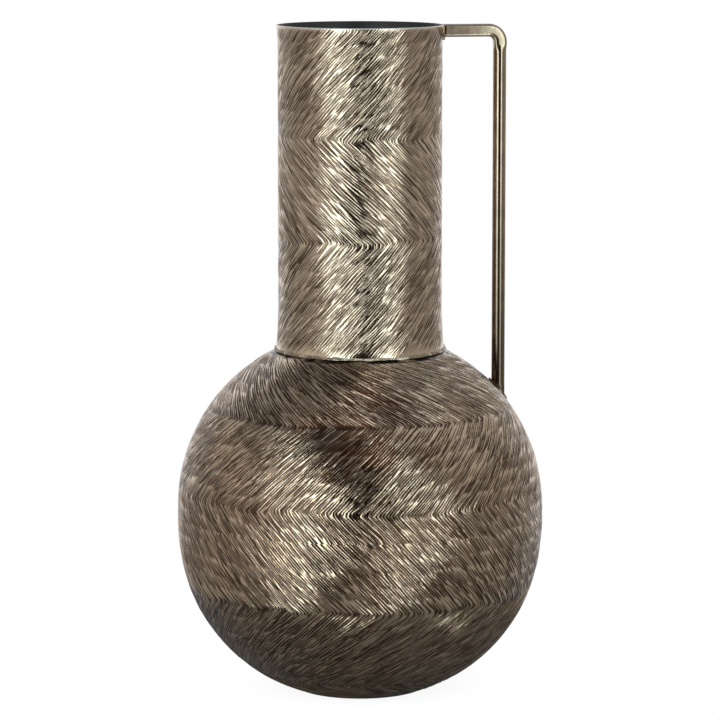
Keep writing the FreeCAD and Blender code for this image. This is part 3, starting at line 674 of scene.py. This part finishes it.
def makeHandle():
    alone()
    start = float(neckRadius(armHeight)) - handle["sunkInNeck"]
    bpy.ops.mesh.primitive_circle_add(vertices=handle["ringPoints"], radius=vase["bar"] / 2 * mm,
                                      location=Vector((start, 0, armHeight)) * mm,
                                      rotation=(0, math.pi / 2, 0), fill_type="NOTHING")
    piece = bpy.context.object
    piece.name = piece.data.name = "handle_forged"
    bpy.ops.object.transform_apply(location=True, rotation=True)
    bpy.ops.object.mode_set(mode="EDIT")
    bpy.ops.mesh.select_all(action="SELECT")
    extrudeBy((bendX - start, 0, 0), handle["armSteps"])
    bpy.ops.mesh.spin(steps=handle["bendSteps"], angle=-math.pi / 2, center=Vector((bendX, 0, bendZ)) * mm,
                      axis=(0, 1, 0))
    extrudeBy((0, 0, dropTop - bendZ), round((bendZ - dropTop) / handle["tailStep"]))
    extrudeBy((0, 0, dropFoot - dropTop), round((dropTop - dropFoot) / handle["dropStep"]))
    bpy.ops.object.mode_set(mode="OBJECT")
    shapeHandle(piece)
    editAll(piece)
    bpy.ops.mesh.select_all(action="DESELECT")
    bpy.ops.mesh.select_non_manifold()
    bpy.ops.mesh.edge_face_add()
    bpy.ops.mesh.select_all(action="SELECT")
    bpy.ops.mesh.normals_make_consistent(inside=False)
    bpy.ops.mesh.faces_shade_smooth()
    bpy.ops.object.mode_set(mode="OBJECT")
    dress(piece, handleFinish, "handle_metal", "handle_bar")


def shapeHandle(piece):
    # gives every ring its own section: squared up to the taper, round below it
    points = readPoints(piece)
    x, y, z = points.T
    inBend = (x > bendX) & (z > bendZ)
    onArm = x <= bendX + handle["armSlack"]
    out = np.hypot(x - bendX, z - bendZ)
    outward = np.where(onArm, z - armHeight, np.where(inBend, out - vase["bendRadius"], x - reach))
    angle = np.arctan2(outward, y)
    share = np.clip((z - dropTop) / vase["taper"], 0, 1)
    share = np.where(onArm | inBend, 1, share)
    power = handle["squareness"]
    spread = np.abs(np.cos(angle)) ** power + np.abs(np.sin(angle)) ** power
    square = vase["bar"] / 2 / spread ** (1 / power)
    section = square * share + vase["rod"] / 2 * (1 - share)
    side, outward = section * np.cos(angle), section * np.sin(angle)
    turnShare = np.where(inBend, np.arctan2(x - bendX, z - bendZ), 0)
    bent = vase["bendRadius"] + outward
    newX = np.where(onArm, x, np.where(inBend, bendX + bent * np.sin(turnShare), reach + outward))
    newZ = np.where(onArm, armHeight + outward, np.where(inBend, bendZ + bent * np.cos(turnShare), z))
    # the foot follows the shoulder, just inside its sheet
    foot = (z < dropFoot + handle["footSlack"]) & ~onArm
    newZ = np.where(foot, shoulderHeight(np.hypot(newX, side)) - handle["sunkInShoulder"], newZ)
    writePoints(piece, np.column_stack([newX, side, newZ]))


makeHandle()
print("handle made")

# The weld round the neck's foot: an uneven bead
neckBead = {
    "seed": 31, "radius": 0.72, "out": 0.25, "up": 0.75, "points": 14, "columns": 900, "lumps": 1.1,
    "fineCells": (110, 5), "coarseCells": (46, 2), "coarseShare": 0.8, "usualLump": 0.9, "levelShare": 0.9,
    "wanderCells": (30, 1), "wander": 0.64,
}


def makeNeckBead():
    size = neckBead["radius"]
    middle = (neckMesh["footRadius"] + neckBead["out"], float(neckFoot) + neckBead["up"])
    angles = np.linspace(0, 2 * math.pi, neckBead["points"], endpoint=False)
    section = [(middle[0] + size * math.cos(a), middle[1] + size * math.sin(a)) for a in angles]
    piece = spunSection("neck_weld_bead", section + section[:1], neckBead["columns"])
    points = readPoints(piece)
    random = np.random.default_rng(neckBead["seed"])
    angle = np.arctan2(points[:, 1], points[:, 0])
    across = (angle / (2 * math.pi)) % 1
    radius = np.hypot(points[:, 0], points[:, 1])
    outX, outZ = (radius - middle[0]) / size, (points[:, 2] - middle[1]) / size
    level = (np.arctan2(outZ, outX) / (2 * math.pi)) % 1
    fine = smoothLattice(random, across, level * neckBead["levelShare"], *neckBead["fineCells"])
    coarse = smoothLattice(random, across, level * neckBead["levelShare"], *neckBead["coarseCells"])
    wander = smoothLattice(random, across, level * 0, *neckBead["wanderCells"]) - 0.5
    grow = 1 + (fine + coarse * neckBead["coarseShare"] - neckBead["usualLump"]) * neckBead["lumps"]
    radius = middle[0] + outX * size * grow
    height = middle[1] + outZ * size * grow + wander * neckBead["wander"]
    writePoints(piece, np.column_stack([radius * np.cos(angle), radius * np.sin(angle), height]))
    dress(piece, weldFinish, "weld_metal", "neck_weld")


makeNeckBead()

for node, material in (("belly_weld", weldFinish), ("handle_top_weld", jointFinish),
                       ("handle_foot_weld", jointFinish), ("felt_pads", feltFinish)):
    solid = bpy.data.objects[node]
    solid.data.materials.clear()
    solid.data.materials.append(material)

# Camera: angles in degrees, distances in metres, lens and sensor in millimetres
view = {"turn": 11.0, "pitch": 8.03, "distance": 2.1, "aim": 0.1995, "lens": 175, "sensor": 36}
turnAngle, pitchAngle = math.radians(view["turn"]), math.radians(view["pitch"])
aim = Vector((0, 0, view["aim"]))
back = Vector((-math.cos(pitchAngle) * math.sin(turnAngle), -math.cos(pitchAngle) * math.cos(turnAngle),
               math.sin(pitchAngle)))
camera = bpy.data.objects.new("camera", bpy.data.cameras.new("camera"))
scene.collection.objects.link(camera)
camera.data.sensor_width, camera.data.lens = view["sensor"], view["lens"]
camera.location = aim + back * view["distance"]
camera.rotation_euler = (-back).to_track_quat("-Z", "Y").to_euler()
scene.camera = camera

# Soft boxes: bearing in degrees from the camera, right is positive, and sizes in metres
sideBoxes = {"height": 1.6, "low": -0.7, "distance": 1.25, "colour": (0.81, 0.985, 1.07)}
softBoxes = [
    {"name": "leftBox", "bearing": -28.5, "width": 0.46, "level": 2.5},
    {"name": "rightBox", "bearing": 36.3, "width": 0.38, "level": 2.0},
]


def areaLamp(name, width, depth, level):
    lamp = bpy.data.lights.new(name, "AREA")
    lamp.shape, lamp.size, lamp.size_y = "RECTANGLE", width, depth
    lamp.energy = level * math.pi * width * depth
    holder = bpy.data.objects.new(name, lamp)
    scene.collection.objects.link(holder)
    return holder


for box in softBoxes:
    bearing = math.radians(box["bearing"] - view["turn"])
    holder = areaLamp(box["name"], box["width"], sideBoxes["height"], box["level"])
    holder.data.color = sideBoxes["colour"]
    holder.location = (sideBoxes["distance"] * math.sin(bearing), -sideBoxes["distance"] * math.cos(bearing),
                       sideBoxes["low"] + sideBoxes["height"] / 2)
    facing = Vector((-math.sin(bearing), math.cos(bearing), 0))
    holder.rotation_euler = facing.to_track_quat("-Z", "Y").to_euler()

# One more soft box hangs over the vase, a little to the front
overhead = {"width": 0.5, "depth": 0.35, "height": 1.6, "forward": 0.12, "level": 1.0}
holder = areaLamp("overheadBox", overhead["width"], overhead["depth"], overhead["level"])
holder.location = (0, -overhead["forward"], overhead["height"])

# The room round the vase: white behind it, a dark gap round the camera, mid grey elsewhere.
# Pairs are where a part starts or ends: degrees round from the camera, or the direction's rise for tops,
# ceiling, floor and cool light.
room = {
    "grey": 0.39, "gap": 0.012, "backdrop": 0.95, "ceiling": 0.20, "below": 0.32, "fill": 0.30,
    "leftCard": 0.5, "rightGap": 0.25, "upRight": 0.35, "coolTint": (0.93, 0.97, 1.05),
    "gapStarts": (-16, -10), "gapEnds": (18, 24), "gapTop": (0.42, 0.8), "behindSide": (128, 142),
    "behindTop": (0.5, 0.8), "cardStarts": (-88, -74), "cardEnds": (-62, -48), "cardTop": (0.2, 0.5),
    "rightGapStarts": (56, 66), "rightGapEnds": (82, 96), "rightGapTop": (0.0, 0.3),
    "upRightStarts": (20, 50), "upRightEnds": (120, 150), "ceilingStarts": (0.4, 0.85),
    "floorEnds": (-0.35, -0.1), "coolStarts": (0.3, 0.7),
}
world = bpy.data.worlds.new("studio")
scene.world = world
w = Finish(world)
direction = w.node("TexCoord", {}, {}, 0)
split = w.node("SeparateXYZ", {}, {0: direction})
x, y, z = (Num(w, socket) for socket in split.link.node.outputs)
bearing = w.sum("ARCTAN2", x, y * -1.0) * (180 / math.pi) + view["turn"]


def between(starts, ends):
    # 1 in the bearings between two edges
    return w.step(bearing, *room[starts]) * (1 - w.step(bearing, *room[ends]))


def under(top):
    return 1 - w.step(z, *room[top])


inGap = between("gapStarts", "gapEnds") * under("gapTop")
offBack = w.sum("ABSOLUTE", bearing)
offBack = w.sum("MINIMUM", offBack, 360 - offBack)
behind = w.step(offBack, *room["behindSide"]) * under("behindTop")
leftCard = between("cardStarts", "cardEnds") * under("cardTop")
rightGap = between("rightGapStarts", "rightGapEnds") * under("rightGapTop")
upRight = between("upRightStarts", "upRightEnds")
overheadLevel = upRight * room["upRight"] + room["ceiling"] - room["grey"]
level = room["grey"] + overheadLevel * w.step(z, *room["ceilingStarts"])
level = level * (1 + leftCard * room["leftCard"] - rightGap * room["rightGap"])
level = level * (1 - inGap) + room["gap"] * inGap
level = level * (1 - behind) + room["backdrop"] * behind
aboveFloor = w.step(z, *room["floorEnds"])
level = level * aboveFloor + room["below"] * (1 - aboveFloor)
rays = w.node("LightPath", {}, {})
isCamera, isGlossy = (Num(w, rays.link.node.outputs[n]) for n in ("Is Camera Ray", "Is Glossy Ray"))
strength = isCamera + (1 - isCamera) * (isGlossy * level + (1 - isGlossy) * room["fill"])
cool = w.clamp(behind + w.step(z, *room["coolStarts"])) * (1 - isCamera)
tint = w.blend(cool, colour(1, 1, 1), colour(*room["coolTint"]))
shader = w.node("Background", {}, {"Color": tint, "Strength": strength})
w.node("OutputWorld", {}, {"Surface": shader})

# The floor: a pale round table top, its radius in metres and its drop below the vase in millimetres
table = {"points": 96, "radius": 0.2, "drop": 0.2, "shade": 0.5, "glow": 0.90}
alone()
bpy.ops.mesh.primitive_circle_add(vertices=table["points"], radius=table["radius"], fill_type="NGON",
                                  location=(0, 0, -table["drop"] * mm))
floor = bpy.context.object
floor.name = "floor"
f = Finish(bpy.data.materials.new("paleFloor"))
rays = f.node("LightPath", {}, {})
seen = Num(f, rays.link.node.outputs["Is Camera Ray"])
cloth = f.node("BsdfDiffuse", {}, {"Color": colour(*[table["shade"]] * 3)})
glow = f.node("Emission", {}, {"Color": colour(1, 1, 1), "Strength": seen * table["glow"]})
both = f.node("AddShader", {}, {0: cloth, 1: glow})
f.node("OutputMaterial", {}, {"Surface": both})
floor.data.materials.append(f.owner)
print("stage made")
